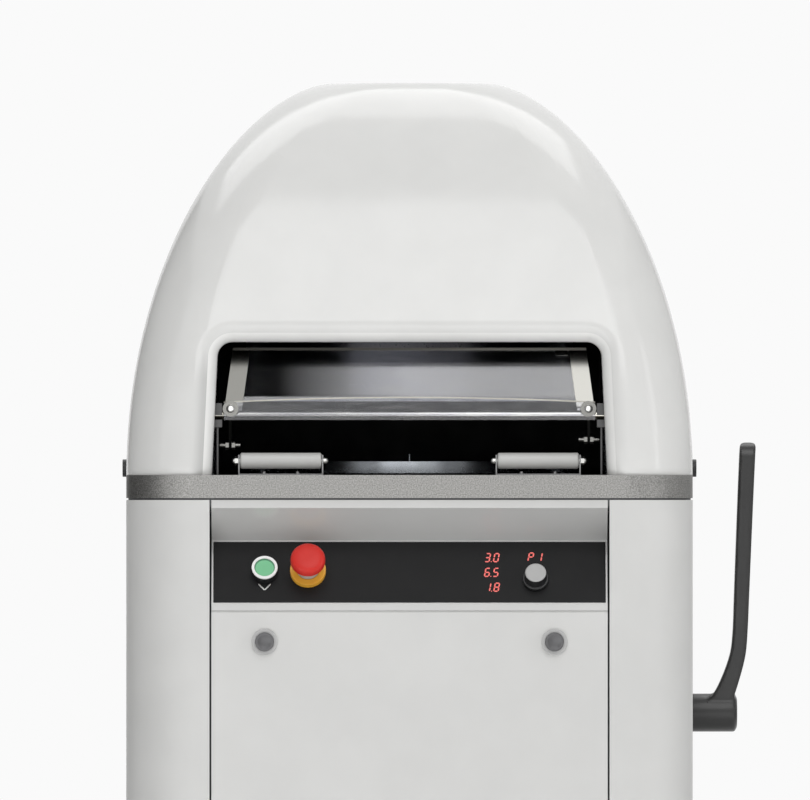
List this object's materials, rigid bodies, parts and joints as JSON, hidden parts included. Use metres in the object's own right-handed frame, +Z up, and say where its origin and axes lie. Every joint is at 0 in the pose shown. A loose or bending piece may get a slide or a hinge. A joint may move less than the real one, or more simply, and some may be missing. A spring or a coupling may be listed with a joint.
{
  "type": "divider rounder",
  "caption": "Free-standing dough divider rounder with a domed hood, moulding-plate mouth, sloping control console and side lever.",
  "frame": {"origin": "floor level at the centre of the cabinet's plan", "axes": "+X to the operator's right, +Y to the back, +Z up"},
  "size_m": [0.7265, 0.7014, 1.4495],
  "materials": {
    "white_paint": "satin powder coat",
    "hood_shell": "gloss gel coat",
    "table_steel": "shot-blasted",
    "stainless": "brushed",
    "machined_steel": "machined",
    "dark_steel": "primed",
    "motor_paint": "enamel",
    "tank_paint": "enamel",
    "black_plastic": "matt",
    "plate_black": "satin",
    "lever_black": "matt powder coat",
    "grey_plastic": "matt",
    "white_plastic": "matt",
    "green_plastic": "gloss",
    "red_plastic": "gloss",
    "yellow_plastic": "gloss",
    "clear_sheet": "clear polycarbonate",
    "alloy": "machined",
    "bronze": "machined",
    "rubber": "matt"
  },
  "bodies": {
    "cabinet": {"base_plate": "dark_steel", "levelling_feet": "rubber", "frame_posts": "dark_steel", "top_plate": "dark_steel", "table_top": "table_steel", "side_panel_left": "white_paint", "side_panel_right": "white_paint", "back_panel": "white_paint", "front_panel": "white_paint", "console": "white_paint", "control_plate": "plate_black", "lock_rings": "stainless", "hood": "hood_shell", "hood_caps": "black_plastic", "start_bezel": "black_plastic", "start_ring": "white_plastic", "estop_collar": "yellow_plastic", "knob_encoder": "machined_steel", "roller_brackets": "stainless", "roller_axles": "stainless", "guard_posts": "stainless", "guide_columns": "machined_steel", "crosshead": "dark_steel", "press_cylinder": "dark_steel", "spindle_housing": "motor_paint", "spindle_bearings": "machined_steel", "drive_motor": "motor_paint", "drive_belt": "rubber", "oil_tank": "tank_paint", "pump_motor": "motor_paint", "lever_bearing": "dark_steel", "cable_gland": "black_plastic"},
    "press_head": {"press_plate": "alloy", "guide_bushes": "bronze", "press_pistons": "alloy", "press_ring": "stainless", "ram": "machined_steel"},
    "knife_set": {"knife_grid": "stainless", "knife_yoke": "machined_steel"},
    "eccentric": {"eccentric_shaft": "machined_steel", "drive_pulley": "dark_steel"},
    "carrier": {"carrier_plate": "stainless", "carrier_bearing": "machined_steel"},
    "left_guide_crank": {"guide_crank_left": "machined_steel"},
    "right_guide_crank": {"guide_crank_right": "machined_steel"},
    "motor_rotor": {"motor_pulley": "dark_steel"},
    "lever": {"side_lever": "lever_black", "lever_shaft": "machined_steel"},
    "stop": {"stop_rod": "machined_steel"},
    "guard": {"guard_frame": "stainless", "guard_shield": "clear_sheet", "guard_bolts": "stainless"},
    "left_roller": {"roller_left": "white_plastic"},
    "right_roller": {"roller_right": "white_plastic"},
    "start_button": {"start_cap": "green_plastic"},
    "stop_button_stem": {"estop_stem": "grey_plastic"},
    "stop_button_head": {"estop_head": "red_plastic"},
    "knob": {"program_knob": "grey_plastic"},
    "left_lock": {"lock_left": "dark_steel"},
    "right_lock": {"lock_right": "dark_steel"}
  },
  "joints": [
    {"name": "press_stroke", "type": "slide", "parent": "cabinet", "child": "press_head", "axis": [0, 0, 1], "range_m": [-0.045, 0]},
    {"name": "knife_stroke", "type": "slide", "parent": "press_head", "child": "knife_set", "axis": [0, 0, 1], "range_m": [-0.02, 0]},
    {"name": "eccentric_spin", "type": "hinge", "parent": "cabinet", "child": "eccentric", "pos_m": [0, 0.04, 0.9], "axis": [0, 0, 1], "continuous": true},
    {"name": "carrier_orbit", "type": "hinge", "parent": "eccentric", "child": "carrier", "pos_m": [0, 0.052, 0.98], "axis": [0, 0, 1], "continuous": true},
    {"name": "left_guide_crank_spin", "type": "hinge", "parent": "cabinet", "child": "left_guide_crank", "pos_m": [-0.13, 0.04, 0.96], "axis": [0, 0, 1], "continuous": true},
    {"name": "right_guide_crank_spin", "type": "hinge", "parent": "cabinet", "child": "right_guide_crank", "pos_m": [0.13, 0.04, 0.96], "axis": [0, 0, 1], "continuous": true},
    {"name": "motor_spin", "type": "hinge", "parent": "cabinet", "child": "motor_rotor", "pos_m": [-0.11, 0.2, 0.74], "axis": [0, 0, 1], "continuous": true},
    {"name": "lever_swing", "type": "hinge", "parent": "cabinet", "child": "lever", "pos_m": [0.3225, 0.04, 0.7267], "axis": [1, 0, 0], "range_deg": [0, 60]},
    {"name": "stop_lift", "type": "slide", "parent": "cabinet", "child": "stop", "axis": [0, 0, 1], "range_m": [0, 0.0121]},
    {"name": "guard_tilt", "type": "hinge", "parent": "cabinet", "child": "guard", "pos_m": [0, -0.278, 1.0681], "axis": [1, 0, 0], "range_deg": [-40, 0]},
    {"name": "left_roller_spin", "type": "hinge", "parent": "cabinet", "child": "left_roller", "pos_m": [-0.1463, -0.288, 1.0162], "axis": [1, 0, 0], "continuous": true},
    {"name": "right_roller_spin", "type": "hinge", "parent": "cabinet", "child": "right_roller", "pos_m": [0.1463, -0.288, 1.0162], "axis": [1, 0, 0], "continuous": true},
    {"name": "start_press", "type": "slide", "parent": "cabinet", "child": "start_button", "axis": [0, 0.8699, -0.4933], "range_m": [0, 0.004], "stiffness_N_per_m": 600},
    {"name": "stop_press", "type": "slide", "parent": "cabinet", "child": "stop_button_stem", "axis": [0, 0.8699, -0.4933], "range_m": [0, 0.005]},
    {"name": "stop_twist", "type": "hinge", "parent": "stop_button_stem", "child": "stop_button_head", "pos_m": [-0.1153, -0.3097, 0.889], "axis": [0, -0.8699, 0.4933], "range_deg": [0, 45], "stiffness_Nm_per_rad": 0.1},
    {"name": "knob_turn", "type": "hinge", "parent": "cabinet", "child": "knob", "pos_m": [0.1432, -0.31483, 0.87996], "axis": [0, -0.8699, 0.4933], "continuous": true},
    {"name": "left_lock_turn", "type": "hinge", "parent": "cabinet", "child": "left_lock", "pos_m": [-0.1645, -0.33, 0.8106], "axis": [0, -1, 0], "range_deg": [0, 90]},
    {"name": "right_lock_turn", "type": "hinge", "parent": "cabinet", "child": "right_lock", "pos_m": [0.1645, -0.33, 0.8106], "axis": [0, -1, 0], "range_deg": [0, 90]}
  ],
  "couplings": [
    {"joint": "carrier_orbit", "follows": "eccentric_spin", "ratio": -1},
    {"joint": "left_guide_crank_spin", "follows": "eccentric_spin", "ratio": 1},
    {"joint": "right_guide_crank_spin", "follows": "eccentric_spin", "ratio": 1},
    {"joint": "motor_spin", "follows": "eccentric_spin", "ratio": 2.6667},
    {"joint": "stop_lift", "follows": "lever_swing", "m_per_rad": 0.011459}
  ]
}
